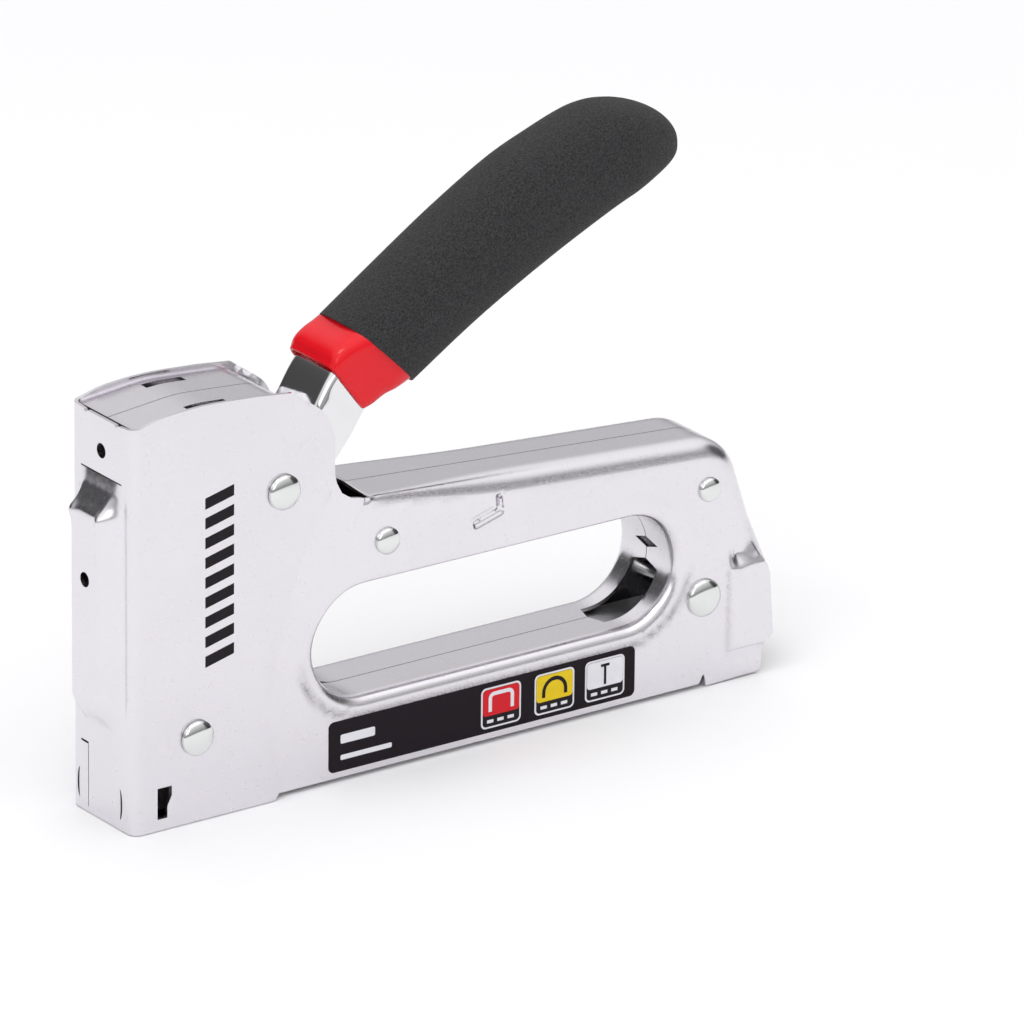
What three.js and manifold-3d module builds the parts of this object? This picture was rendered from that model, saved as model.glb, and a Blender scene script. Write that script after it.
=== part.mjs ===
// A light-duty hand staple gun: two pressed steel body shells, a folded nose cover, a squeeze
// handle that lifts a spring-driven striker, and a rail magazine that slides out of the back.
// Millimetres. X runs back from the nose's front face, Y across the tool and Z up from the
// surface it stands on; the group is shifted at the end so that its origin lies under the middle.
import * as THREE from "three";
import { mergeVertices } from "three/addons/utils/BufferGeometryUtils.js";
import Module from "manifold-3d";

const wasm = await Module();
wasm.setup();

// ---- Driving dimensions -------------------------------------------------------------------
const SHEET = 0.8; // pressed steel of the cover and the shells
const GAP = 0.1; // between neighbouring pieces of one body
const COVER_HALF = 11.4; // half width over the nose cover
const SHELL_HALF = COVER_HALF - SHEET - 2 * GAP; // half width over the body shells
const SEAM_HALF = 0.1; // half of the seam between the two shells
const NOSE_DEPTH = 38.8; // front face to the cover's rear top corner
const NOSE_TOP = 90; // top of the cover's crown
const BOSS_RISE = 4.1; // how far the front boss stands out
const REAR_END = 161.9; // rearmost point of the shells
const HOLE_RADIUS = 12.5; // finger hole, a slot with round ends
const HOLE_FRONT_X = 57.8; // centre of its front end
const HOLE_REAR_X = 124;
const HOLE_Z = 29.95;
const PIVOT = [36.8, 67.3]; // handle pivot, X and Z
const RIVET_SHANK = 2; // radius
const RIVET_BORE = 2.3; // radius
const LEVER_HALF = 7.6; // half width over the handle lever
const LEVER_SHEET = 1.2;
const MAG_HALF = 6.9; // half width over the magazine channel
const MAG_TOP = 15.9;
const RAIL_HALF = 4.6; // half width over the loading rail
const RAIL_TOP = 13.9;
const REAR_SLOT_HALF = 7.3; // half width of the opening the rail slides through
const REAR_SLOT_TOP = 20;
const SPRING_AXIS_X = 12.5;
const SPRING_SEAT_Z = 37.2; // bottom of the main spring
const SPRING_TOP_Z = 84.6;
const STRIKER_X = 2.4; // front face of the striker blade
const WING_Z = 60.6; // underside of the striker wings, on the lever's prongs
const PRONG_TIP = [6.7, 58.3]; // centre of the round prong tip, X and Z
const PRONG_RADIUS = 2;

// ---- Outlines -----------------------------------------------------------------------------
const point = ([u, v]) => new THREE.Vector2(u, v);

// A closed outline from corners [u, v, radius], each rounded by an arc in equal steps.
function rounded(corners, steps = 4) {
  const count = corners.length;
  return corners.flatMap((corner, i) => {
    const at = point(corner);
    const radius = corner[2] ?? 0;
    if (radius === 0) return [at];
    const before = point(corners[(i + count - 1) % count]).sub(at).normalize();
    const after = point(corners[(i + 1) % count]).sub(at).normalize();
    const half = Math.acos(THREE.MathUtils.clamp(before.dot(after), -1, 1)) / 2;
    const centre = before.clone().add(after).setLength(radius / Math.sin(half)).add(at);
    const first = before.clone().multiplyScalar(radius / Math.tan(half)).add(at).sub(centre);
    const turn = (Math.PI - 2 * half) * Math.sign(after.cross(before));
    return Array.from({ length: steps + 1 }, (_, k) =>
      first.clone().rotateAround(new THREE.Vector2(), (turn * k) / steps).add(centre),
    );
  });
}

// Points along a smooth curve through the given points.
function smooth(points, perSpan = 2) {
  const curve = new THREE.SplineCurve(points.map(point));
  return curve.getPoints((points.length - 1) * perSpan);
}

// The closed outline moved inwards by a distance; a negative distance moves it outwards.
function inset(outline, distance) {
  const inwards = Math.sign(THREE.ShapeUtils.area(outline)) * distance;
  const count = outline.length;
  const leftOf = (a, b) => new THREE.Vector2(a.y - b.y, b.x - a.x).normalize();
  return outline.map((at, i) => {
    const first = leftOf(outline[(i + count - 1) % count], at);
    const second = leftOf(at, outline[(i + 1) % count]);
    const scale = inwards / Math.max(0.35, 1 + first.dot(second));
    return first.add(second).multiplyScalar(scale).add(at);
  });
}

function circle(u, v, radius, sides = 20) {
  return Array.from({ length: sides }, (_, i) => {
    const angle = (2 * Math.PI * i) / sides;
    return new THREE.Vector2(u + radius * Math.cos(angle), v + radius * Math.sin(angle));
  });
}

function rectangle(uLow, vLow, uHigh, vHigh, radius = 0) {
  return rounded([
    [uLow, vLow, radius],
    [uHigh, vLow, radius],
    [uHigh, vHigh, radius],
    [uLow, vHigh, radius],
  ]);
}

// A slot with round ends, centred between two points at one height.
function slotOutline(uFirst, uLast, v, radius) {
  return rectangle(uFirst - radius, v - radius, uLast + radius, v + radius, radius - 1e-3);
}

// ---- Solids -------------------------------------------------------------------------------
function solid(geometry) {
  const loose = geometry.index ? geometry.toNonIndexed() : geometry;
  const bare = new THREE.BufferGeometry();
  bare.setAttribute("position", loose.getAttribute("position"));
  const merged = mergeVertices(bare, 1e-4);
  return new wasm.Manifold(
    new wasm.Mesh({
      numProp: 3,
      vertProperties: merged.attributes.position.array,
      triVerts: new Uint32Array(merged.index.array),
    }),
  );
}

function extruded(outline, depth, bevel) {
  const options = { depth: depth - 2 * bevel, bevelEnabled: bevel > 0, curveSegments: 1, steps: 1 };
  Object.assign(options, { bevelThickness: bevel, bevelSize: bevel, bevelOffset: -bevel });
  options.bevelSegments = 3;
  return new THREE.ExtrudeGeometry(new THREE.Shape(outline), options).translate(0, 0, bevel);
}

// An XZ outline extruded across the tool, from yLow to yHigh, with rounded rims if bevel > 0.
function across(outline, yLow, yHigh, bevel = 0) {
  return solid(extruded(outline, yHigh - yLow, bevel).rotateX(Math.PI / 2).translate(0, yHigh, 0));
}

// A YZ outline extruded along the tool, from xLow to xHigh.
function along(outline, xLow, xHigh) {
  const turn = new THREE.Matrix4().makeBasis(
    new THREE.Vector3(0, 1, 0),
    new THREE.Vector3(0, 0, 1),
    new THREE.Vector3(1, 0, 0),
  );
  return solid(extruded(outline, xHigh - xLow, 0).applyMatrix4(turn).translate(xLow, 0, 0));
}

// An XY outline extruded upwards, from zLow to zHigh.
function upright(outline, zLow, zHigh) {
  return solid(extruded(outline, zHigh - zLow, 0).translate(0, 0, zLow));
}

function block(xLow, xHigh, yLow, yHigh, zLow, zHigh) {
  return upright(rectangle(xLow, yLow, xHigh, yHigh), zLow, zHigh);
}

// A round bar across the tool, used for the rivet bores.
function bore(x, z, radius, half = COVER_HALF + 1) {
  return across(circle(x, z, radius), -half, half);
}

// A profile [radius, height] turned about the Y axis through (x, z).
function turned(profile, x, z, sides = 16) {
  const points = profile.map(point);
  return solid(new THREE.LatheGeometry(points, sides).translate(x, 0, z));
}

class Helix extends THREE.Curve {
  constructor(radius, turns, length) {
    super();
    Object.assign(this, { radius, turns, length });
  }

  getPoint(t, target = new THREE.Vector3()) {
    const angle = 2 * Math.PI * this.turns * t;
    return target.set(
      this.radius * Math.cos(angle),
      this.radius * Math.sin(angle),
      this.length * t,
    );
  }

  getPointAt(t, target) {
    return this.getPoint(t, target);
  }
}

// A coil spring standing on the origin, along Z, with the mean coil radius and wire radius.
function coil(radius, wire, turns, length, stepsPerTurn = 10) {
  const path = new Helix(radius, turns, length - 2 * wire);
  const steps = Math.round(turns * stepsPerTurn);
  const section = new THREE.Shape(circle(0, 0, wire, 5));
  return new THREE.ExtrudeGeometry(section, { steps, extrudePath: path, curveSegments: 1 })
    .translate(0, 0, wire);
}

const mirrored = (half) => half.mirror([0, 1, 0]);

// ---- Materials ----------------------------------------------------------------------------
const finish = (color, roughness, metalness) => () =>
  new THREE.MeshStandardMaterial({ color, roughness, metalness });
const satinNickel = finish(0xe0dee5, 0.32, 1);
const brightNickel = finish(0xe8e8ea, 0.12, 1);
const springSteel = finish(0x8d8f94, 0.35, 1);
const rawSteel = finish(0xa9abb0, 0.45, 1);
const redVinyl = finish(0xd8242f, 0.25, 0);
const blackFoam = finish(0x2e2f32, 0.95, 0);
const blackRubber = finish(0x1d1d1f, 0.8, 0);
const printedFilm = finish(0x17141a, 0.5, 0);

const tool = new THREE.Group();

function add(name, body, material) {
  const made = body.getMesh();
  const geometry = new THREE.BufferGeometry();
  geometry.setAttribute("position", new THREE.BufferAttribute(made.vertProperties, made.numProp));
  geometry.setIndex(new THREE.BufferAttribute(made.triVerts, 1));
  geometry.computeVertexNormals();
  const mesh = new THREE.Mesh(geometry, material());
  mesh.name = name;
  tool.add(mesh);
}

// ---- Rivets -------------------------------------------------------------------------------
const RIVETS = {
  handle_pivot_rivet: { at: PIVOT, head: 3.8, rise: 1.7, seat: COVER_HALF },
  nose_rivet: { at: [15.6, 18.4], head: 3.8, rise: 1.7, seat: COVER_HALF },
  arm_front_rivet: { at: [63.1, 50.7], head: 2.9, rise: 1.5, seat: SHELL_HALF },
  arm_rear_rivet: { at: [144.9, 44.3], head: 2.65, rise: 1.4, seat: SHELL_HALF },
  heel_rivet: { at: [143.8, 20.3], head: 4.15, rise: 1.7, seat: SHELL_HALF },
};

// A shank with a low domed head at each end.
function rivet({ at, head, rise, seat }) {
  const under = seat + GAP;
  const dome = [];
  const rings = 3;
  for (let i = 0; i <= rings; i += 1) {
    const angle = (i / rings) * (Math.PI / 2);
    dome.push([head * Math.cos(angle), under + 0.3 + (rise - 0.3) * Math.sin(angle)]);
  }
  dome[rings][0] = 0;
  const upper = [[RIVET_SHANK, under], [head, under], ...dome];
  const lower = upper.map(([radius, y]) => [radius, -y]).reverse();
  return turned([...lower, ...upper], at[0], at[1]);
}

function addRivets() {
  for (const [name, size] of Object.entries(RIVETS)) add(name, rivet(size), brightNickel);
}

// Cuts the bores of the named rivets out of a solid.
function drilled(body, ...names) {
  return names.reduce((left, name) => left.subtract(bore(...RIVETS[name].at, RIVET_BORE)), body);
}

// ---- Nose cover ---------------------------------------------------------------------------
// Side outline: straight foot, S-shaped rear edge, round rear corner and crowned top.
function coverSide() {
  const foot = [[36.5, 2.4], [34.6, 11], [34.2, 27]];
  const rearEdge = [...foot, [39, 45], [45.2, 59.5], [48.6, 66], [49.2, 72]];
  const corner = [[49.4, 76.6], [46.7, 82.4], [NOSE_DEPTH, 88.3]];
  const crown = [[30, 89.3], [18, NOSE_TOP], [8, 89.5], [-1, 87.3]];
  return [
    ...rounded([[-1, 0], [34.8, 0]]),
    ...smooth(rearEdge),
    ...smooth(corner),
    ...smooth(crown),
  ];
}

// Plan of the folded sheet: a U with rounded front corners, open to the back.
function coverPlan() {
  const outer = COVER_HALF;
  const inner = COVER_HALF - SHEET;
  const back = 60;
  const bend = 2.2;
  return rounded([
    [0, -outer, bend],
    [back, -outer],
    [back, -inner],
    [SHEET, -inner, bend - SHEET],
    [SHEET, inner, bend - SHEET],
    [back, inner],
    [back, outer],
    [0, outer, bend],
  ]);
}

// The raised boss down the middle of the front face, made smaller all round by a wall thickness.
function boss(wall) {
  const face = -BOSS_RISE + wall;
  const side = [[2, 17 + wall], [0, 19 + wall], [face, 28 + wall / 2], [face, 67 - wall / 2],
    [-1.3, 71.5 - wall], [0, 75.2 - wall], [2, 75.2 - wall]];
  const root = 8.2 - wall;
  const top = 4.8 - wall / 2;
  const plan = [[1, -root], [0, -root], [face, -top], [face, top], [0, root], [1, root]];
  const profile = across(rounded(side), -root - 2, root + 2);
  return profile.intersect(upright(rounded(plan).reverse(), 0, NOSE_TOP));
}

function noseCover() {
  const folded = upright(coverPlan(), -1, NOSE_TOP + 1).intersect(across(coverSide(), -20, 20));
  const pressed = folded.add(boss(0)).subtract(boss(SHEET));
  const lowerWindow = [[5.9, 2.5], [8.3, 2.5], [8.3, 5], [9.4, 7.2], [9.4, 9.3], [5.9, 9.3]].map(point);
  const upperHole = along(circle(0, 80.5, 1.6, 12), -BOSS_RISE - 1, 2);
  const bossHole = along(circle(0, 53.5, 1.6, 12), -BOSS_RISE - 1, 0);
  const openings = [upperHole, bossHole, across(lowerWindow, -COVER_HALF - 1, -COVER_HALF + 1)];
  const cut = openings.reduce((left, opening) => left.subtract(opening), pressed);
  const inside = block(SHEET, 34, -9, 9, -2, 95);
  return drilled(cut.subtract(inside), "handle_pivot_rivet", "nose_rivet");
}

// ---- Body shells --------------------------------------------------------------------------
const ARM_TOP = 61.2;
const HEEL_BULGE = { xLow: 149.6, xHigh: 161.2, zLow: 7.2, zHigh: 28, rise: 1.5 };

// The notch that parts the straight base from the heel's foot.
const NOTCH = [[143.1, 0.8, 0.8], [144.3, 3], [144.9, 0]];

// Side outline of both shells: nose under the cover, arm, heel with its foot, and straight base.
function shellSide(base) {
  return rounded([
    [1.6, 0.8],
    ...base,
    [159.6, 0, 4],
    [159.9, 7.2],
    [REAR_END, 8.4, 1.4],
    [160.8, 23, 8],
    [158.2, 32, 6],
    [149.8, 57, 13],
    [121.5, 57.9, 30],
    [59.3, ARM_TOP],
    [43.4, ARM_TOP + 0.3, 1.5],
    [48.4, 75.5, 6],
    [44.5, 83.6, 4],
    [36, 87.6, 8],
    [18, NOSE_TOP - 1, 40],
    [1.6, 87.4],
  ]);
}

function fingerHole(grow = 0) {
  return slotOutline(HOLE_FRONT_X, HOLE_REAR_X, HOLE_Z, HOLE_RADIUS + grow);
}

// The rounded swelling down each side of the heel, as an XY segment extruded upwards.
function heelBulge(wall) {
  const { xLow, xHigh, zLow, zHigh, rise } = HEEL_BULGE;
  const face = -SHELL_HALF;
  const width = xHigh - xLow - 2 * wall;
  const segment = [new THREE.Vector2(xHigh - wall, face + 2), new THREE.Vector2(xLow + wall, face + 2)];
  for (let i = 0; i <= 8; i += 1) {
    const t = i / 8;
    segment.push(new THREE.Vector2(xLow + wall + width * t, face + wall - rise * Math.sin(Math.PI * t)));
  }
  return upright(segment, zLow + wall, zHigh - wall);
}

// The shell on the -Y side: a tray with an inward rim all round and round the finger hole.
function leftShell() {
  const outline = shellSide(NOTCH);
  const plain = shellSide([]);
  const hole = across(fingerHole(), -COVER_HALF - 2, 1);
  const within = across(inset(plain, 1), -30, 30);
  const outer = across(outline, -SHELL_HALF, -SEAM_HALF)
    .add(heelBulge(0).intersect(across(inset(plain, 0.2), -30, 0)));
  const room = across(inset(plain, SHEET), -SHELL_HALF + SHEET, 2)
    .add(heelBulge(SHEET).intersect(within))
    .subtract(across(fingerHole(SHEET), -30, 30));
  const base = block(-1, 143, -REAR_SLOT_HALF, 1, -1, 8);
  const rear = block(140, 170, -REAR_SLOT_HALF, 1, -1, REAR_SLOT_TOP);
  const frontEdge = block(0, 3.9, -SHELL_HALF + SHEET, 1, -1, NOSE_TOP - 4);
  const leverWay = across(
    rounded([[38.6, 70], [38.6, 95], [60, 95], [59, 58.8], [52, 60], [42, 60]]),
    -SHELL_HALF + SHEET,
    1,
  );
  const topSlot = block(15.4, 26.2, -SHELL_HALF - 1, -SHELL_HALF + 1, 87, 95);
  const cuts = [room, hole, base, rear, frontEdge, leverWay, topSlot];
  const shell = cuts.reduce((left, cut) => left.subtract(cut), outer);
  return drilled(shell, ...Object.keys(RIVETS));
}

function addCasing() {
  const left = leftShell();
  add("nose_cover", noseCover(), satinNickel);
  add("body_shell_left", left, satinNickel);
  add("body_shell_right", mirrored(left), satinNickel);
}

// ---- Handle -------------------------------------------------------------------------------
// Closed side outlines: first the upper edge from root to tip, then the lower edge back again.
const GRIP_TOP = [[55.5, 96.2], [73.3, 108.2], [84.9, 115.7], [97.8, 123.1], [107.4, 127.1],
  [118.7, 130.7], [127.5, 130.6], [135, 128], [140.4, 121.8]];
const GRIP_BELOW = [[138.8, 116], [131.5, 112.5], [122.2, 108.5], [108.7, 102.1], [95.2, 95.2],
  [85.1, 89.5], [75.7, 83.6]];
const GRIP_WALL = 2.6; // foam over the vinyl
const VINYL_WALL = 1; // vinyl over the steel
const LEVER_DEPTH = GRIP_WALL + VINYL_WALL + 0.3;
const LEVER_END = 130; // X of the end of the steel inside the grip
const VINYL_END = 134;
const FOAM_HALF = 10.8;
const FOAM_ROUNDING = 5;

const gripSide = () => smooth([...GRIP_TOP, ...GRIP_BELOW]);

// The part of the handle inside the foam, inset from the foam's outline and ended before its tip.
function handleCore(depth, end) {
  return inset(gripSide(), depth).slice(1, -1).filter((at) => at.x < end);
}

// The vinyl's outline, carried on below its mouth so that the mouth can be cut from it.
function vinylSide() {
  const below = [[71.6, 84.1], [66, 82], [60.2, 78], [53, 69]];
  const above = [[43, 78], [50.4, 91], [54.4, 93.6]];
  return [...handleCore(GRIP_WALL, VINYL_END), ...below.map(point), ...above.map(point)];
}

// The region below the curved line where the vinyl starts.
function belowMouth() {
  return [[30, 60], [70, 60], [60.2, 78.2], [56.6, 83.6], [53, 87.4], [50, 90.6], [30, 97]].map(point);
}

// The lever's own outline: channel from the pivot up into the grip.
function leverSide() {
  const core = handleCore(LEVER_DEPTH, LEVER_END);
  const below = [[71.2, 85.6], [65.4, 83.2], [59.2, 78.6], [54.4, 72.8], [51, 69]];
  const knuckle = [[44, 63.2], [38, 60.8], [32.4, 62.6], [30.8, 67.5], [33.4, 71.6]];
  const above = [[40, 74.6], [44.4, 79.4], [48.2, 85.2], [51.4, 90.4], [55.4, 92.8]];
  return [...core, ...smooth([...below, ...knuckle, ...above], 1)];
}

// The inside of the channel: open below, closed above by the web.
function leverRoom() {
  const web = [[33, 70.2], [40, 72.9], [45.4, 78.6], [49.2, 84.5], [52.2, 89.3], [56, 91.6]];
  const upper = handleCore(LEVER_DEPTH + LEVER_SHEET, LEVER_END).slice(2, 14);
  const lower = [[140, 98], [60, 60], [50, 50], [20, 50], [20, 70]];
  return [...web.map(point), ...upper, ...lower.map(point)];
}

// One of the two arms that reach forward on either side of the main spring to lift the striker.
function prongSide() {
  const [tipX, tipZ] = PRONG_TIP;
  return rounded([
    [tipX - PRONG_RADIUS, tipZ - PRONG_RADIUS, PRONG_RADIUS - 0.2],
    [32, 60.5, 3],
    [37, 66],
    [33, 72, 2],
    [25, 65, 6],
    [12, tipZ + PRONG_RADIUS, 6],
    [tipX - PRONG_RADIUS, tipZ + PRONG_RADIUS, PRONG_RADIUS - 0.2],
  ]);
}

function handleLever() {
  const inner = LEVER_HALF - LEVER_SHEET;
  const channel = across(leverSide(), -LEVER_HALF, LEVER_HALF, 2);
  const hollow = channel.subtract(across(leverRoom(), -inner, inner));
  const prong = across(prongSide(), -LEVER_HALF, -inner);
  const joined = hollow.add(prong).add(mirrored(prong));
  return joined.subtract(bore(...PIVOT, RIVET_BORE));
}

function handleSleeve() {
  const half = LEVER_HALF + VINYL_WALL + 0.2;
  const dipped = across(vinylSide(), -half, half, 3);
  const steel = across(inset(leverSide(), -0.15), -LEVER_HALF - 0.1, LEVER_HALF + 0.1, 2);
  return dipped.subtract(steel).subtract(across(belowMouth(), -half - 1, half + 1));
}

function handleGrip() {
  const half = LEVER_HALF + VINYL_WALL + 0.3;
  const foam = across(gripSide(), -FOAM_HALF, FOAM_HALF, FOAM_ROUNDING);
  return foam.subtract(across(inset(vinylSide(), -0.1), -half, half, 3));
}

// A torsion spring round the pivot, one leg under the channel's web and one to the shells.
function handleReturnSpring() {
  const [x, z] = PIVOT;
  const wire = 0.6;
  const turns = 4.25;
  const width = 6.2;
  const wound = solid(coil(3.3, wire, turns, width, 10).rotateX(Math.PI / 2).translate(x, width / 2, z));
  const leg = (y, ends) => across(rounded(ends), y - wire, y + wire);
  const upLeg = leg(width / 2 - wire, [[40.6, 67.3], [42.2, 74.4], [41.2, 74.2], [39.4, 67.3]]);
  const downLeg = leg(-width / 2 + wire, [[37.4, 63.4], [36.6, 64.6], [28.8, 52.6], [29.8, 52]]);
  return wound.add(upLeg).add(downLeg);
}

function addHandle() {
  add("handle_lever", handleLever(), brightNickel);
  add("handle_sleeve", handleSleeve(), redVinyl);
  add("handle_grip", handleGrip(), blackFoam);
  add("handle_return_spring", handleReturnSpring(), springSteel);
}

// ---- Striker ------------------------------------------------------------------------------
// A flat blade: narrow driver below, wide body above, with a slot that saves weight.
function strikerBlade() {
  const half = 5.4;
  const shoulder = 6.5;
  const outline = [[-half, 1.2], [half, 1.2], [half, 34], [shoulder, 38], [shoulder, 70],
    [-shoulder, 70], [-shoulder, 38], [-half, 34]];
  return along(rounded(outline), STRIKER_X, STRIKER_X + 1);
}

// A folded plate behind the blade: spring seat at the bottom, wings over the lever's prongs.
function strikerYoke() {
  const back = STRIKER_X + 1 + GAP;
  const plate = along(rectangle(-6.4, SPRING_SEAT_Z - 1.4, 6.4, 66), back, back + 1);
  const seat = block(back, SPRING_AXIS_X + 7, -6.4, 6.4, SPRING_SEAT_Z - 1.4, SPRING_SEAT_Z - GAP);
  const wing = along(rectangle(-LEVER_HALF - 0.4, WING_Z, -6, WING_Z + 1.6), back, 7.4);
  const cheek = along(rectangle(-LEVER_HALF - 0.4, WING_Z, -6, 66), back, back + 1);
  const side = wing.add(cheek);
  const ring = upright(circle(SPRING_AXIS_X, 0, 6.8, 20), WING_Z - 1, 70);
  return plate.add(seat).add(side.subtract(ring)).add(mirrored(side.subtract(ring)));
}

function mainSpring() {
  const length = SPRING_TOP_Z - SPRING_SEAT_Z;
  return solid(coil(5.1, 0.9, 10.5, length).translate(SPRING_AXIS_X, 0, SPRING_SEAT_Z));
}

// A pressed cap that centres the top of the main spring under the shells' top rims.
function springCap() {
  const half = SHELL_HALF - SHEET - 0.3;
  const plate = block(SPRING_AXIS_X - 7.8, SPRING_AXIS_X + 9, -half, half, SPRING_TOP_Z + GAP, 86.2);
  const spigot = upright(circle(SPRING_AXIS_X, 0, 3.9, 16), SPRING_TOP_Z - 4, SPRING_TOP_Z + 0.5);
  return plate.add(spigot);
}

// The rubber block that stops the striker, seated on the nose rivet's shank.
function strikerBumper() {
  const [x, z] = RIVETS.nose_rivet.at;
  const side = rectangle(x - 8.6, z, x + 4.6, SPRING_SEAT_Z - 1.7, 1.5);
  return across(side, -8.8, 8.8).subtract(bore(x, z, RIVET_SHANK + 0.1));
}

// The hardened plate in front of the blade, inside the cover.
function strikerGuide() {
  return along(rounded([[-9, 0.2], [9, 0.2], [9, 34], [-9, 34]]), SHEET + 0.3, SHEET + 1.4);
}

function addStriker() {
  add("striker_blade", strikerBlade(), springSteel);
  add("striker_yoke", strikerYoke(), rawSteel);
  add("main_spring", mainSpring(), springSteel);
  add("spring_cap", springCap(), rawSteel);
  add("striker_bumper", strikerBumper(), blackRubber);
  add("striker_guide_plate", strikerGuide(), springSteel);
}

// ---- Magazine -----------------------------------------------------------------------------
// An inverted U section, as a YZ outline.
function channelSection(half, wall, zLow, zTop) {
  return rounded([
    [-half, zLow], [-half + wall, zLow], [-half + wall, zTop - wall], [half - wall, zTop - wall],
    [half - wall, zLow], [half, zLow], [half, zTop], [-half, zTop],
  ]);
}

const RAIL_FRONT = 4.4;
const RAIL_REAR = 151;
const PUSHER_LENGTH = 14;
const ROD_Z = 8;

function magazineChannel() {
  return along(channelSection(MAG_HALF, 0.8, 2.4, MAG_TOP), 4, 141);
}

function loadingRail() {
  return along(channelSection(RAIL_HALF, 0.8, 1.4, RAIL_TOP), RAIL_FRONT, RAIL_REAR);
}

// The block at the rear of the rail, with a finger scoop below, that closes the magazine.
function railEndCap() {
  const half = REAR_SLOT_HALF - 0.4;
  const step = block(RAIL_REAR + GAP, 153.3, -half, half, 1, 15.2);
  const body = block(RAIL_REAR + GAP, 160.4, -half, half, 1, 13.2).add(step);
  const scoop = across(circle(156, -1.2, 5.2, 24), -3.6, 3.6);
  const latchWell = block(153.4, 158.6, -3.4, 3.4, 4.9, 16);
  const socket = along(circle(0, ROD_Z, 1.2, 12), RAIL_REAR, RAIL_REAR + 1.8);
  return body.subtract(scoop).subtract(latchWell).subtract(socket);
}

// A pusher that straddles the rail and runs on the guide rod.
function staplePusher() {
  const front = RAIL_FRONT + 0.4;
  const back = front + PUSHER_LENGTH;
  const saddle = along(channelSection(5.6, 0.8, 2.4, 14.9), front, back);
  const slider = block(front + 1, back, -3.4, 3.4, 4.5, 11.5);
  const foot = block(front + 1, back, -5.4, 5.4, -0, 0.9);
  const bridge = block(front + 1, back, -3.4, 3.4, 0.5, 5);
  const cheek = block(front + 1, back, -5.6, -4.9, 0.2, 3);
  const rod = along(circle(0, ROD_Z, 1.3, 12), 0, back + 1);
  return saddle.add(slider).add(bridge).add(foot.translate([0, 0, 0.2])).add(cheek)
    .add(mirrored(cheek)).subtract(rod);
}

function pusherGuideRod() {
  return along(circle(0, ROD_Z, 1, 10), RAIL_FRONT + 2, RAIL_REAR + 1.6);
}

function pusherSpring() {
  const start = RAIL_FRONT + 0.4 + PUSHER_LENGTH + GAP;
  const length = RAIL_REAR - GAP - start;
  const lying = coil(1.8, 0.35, 18, length, 7).rotateY(Math.PI / 2);
  return solid(lying.translate(start, 0, ROD_Z));
}

// A sprung catch in the end cap: press it down to free the rail.
function railLatch() {
  const stem = block(153.7, 158.3, -3.1, 3.1, 11.4, 17);
  const head = block(153.7, 159.6, -5, 5, 15.6, 19.6);
  const ramp = across(rounded([[157, 19.7], [159.7, 17], [159.7, 19.7]]), -6, 6);
  return stem.add(head).subtract(ramp);
}

function latchSpring() {
  return solid(coil(1.5, 0.3, 5, 6.2, 8).translate(156, 0, 5));
}

function addMagazine() {
  add("magazine_channel", magazineChannel(), rawSteel);
  add("loading_rail", loadingRail(), brightNickel);
  add("rail_end_cap", railEndCap(), brightNickel);
  add("pusher_guide_rod", pusherGuideRod(), springSteel);
  add("pusher_spring", pusherSpring(), springSteel);
  add("staple_pusher", staplePusher(), rawSteel);
  add("rail_latch", railLatch(), springSteel);
  add("latch_spring", latchSpring(), springSteel);
}

// ---- Label --------------------------------------------------------------------------------
function addLabel() {
  const film = rectangle(48.7, 2.3, 126.2, 13.5, 1.3);
  add("side_label", across(film, -SHELL_HALF - 0.2, -SHELL_HALF - 0.02), printedFilm);
}

addCasing();
addRivets();
addHandle();
addStriker();
addMagazine();
addLabel();
tool.position.x = -(REAR_END - BOSS_RISE) / 2;

export default tool;
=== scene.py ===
import math

import bpy
import numpy as np
from mathutils import Matrix, Vector
from mathutils.geometry import delaunay_2d_cdt


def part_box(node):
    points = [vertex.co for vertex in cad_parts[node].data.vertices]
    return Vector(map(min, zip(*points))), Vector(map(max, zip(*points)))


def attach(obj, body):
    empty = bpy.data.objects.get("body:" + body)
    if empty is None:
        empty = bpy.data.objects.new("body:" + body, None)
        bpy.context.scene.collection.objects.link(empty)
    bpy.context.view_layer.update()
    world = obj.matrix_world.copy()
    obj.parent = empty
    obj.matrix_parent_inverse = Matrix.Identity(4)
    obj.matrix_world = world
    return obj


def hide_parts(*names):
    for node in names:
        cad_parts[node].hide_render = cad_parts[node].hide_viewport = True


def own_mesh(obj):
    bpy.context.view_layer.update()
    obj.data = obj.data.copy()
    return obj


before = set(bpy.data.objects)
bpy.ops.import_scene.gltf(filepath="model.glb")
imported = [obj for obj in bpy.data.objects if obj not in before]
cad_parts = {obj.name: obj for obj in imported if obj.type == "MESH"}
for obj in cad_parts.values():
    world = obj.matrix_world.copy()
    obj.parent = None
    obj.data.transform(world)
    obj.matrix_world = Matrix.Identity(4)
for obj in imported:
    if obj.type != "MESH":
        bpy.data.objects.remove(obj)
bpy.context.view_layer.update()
scene = bpy.context.scene

# ---- Driving dimensions ----
MM = 0.001
SHELL_FRONT = 1.6  # X of the shells' front edge
NOSE_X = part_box("body_shell_left")[0].x / MM - SHELL_FRONT
COVER_HALF = (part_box("nose_cover")[1].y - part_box("nose_cover")[0].y) / 2 / MM
SHEET = 0.8  # pressed steel of the cover and the shells
SHELL_HALF = COVER_HALF - SHEET - 0.2
SEAM = 0.1  # half of the seam between the two shells
BASE_OPENING = 7.3  # half width of the opening for the magazine
HOLE_RADIUS = 12.5  # the finger hole is a slot with round ends
HOLE_FRONT_X = 57.8
HOLE_REAR_X = 124.0
HOLE_Z = 29.95
HOLE_MIDDLE = np.array([(HOLE_FRONT_X, HOLE_Z), (HOLE_REAR_X, HOLE_Z)])
PIVOT = (36.8, 67.3)  # X and Z of the handle's hinge
NOSE_RIVET = (15.6, 18.4)
FRONT_BEND = 2.2  # outer radius of the cover's two front corners
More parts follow.
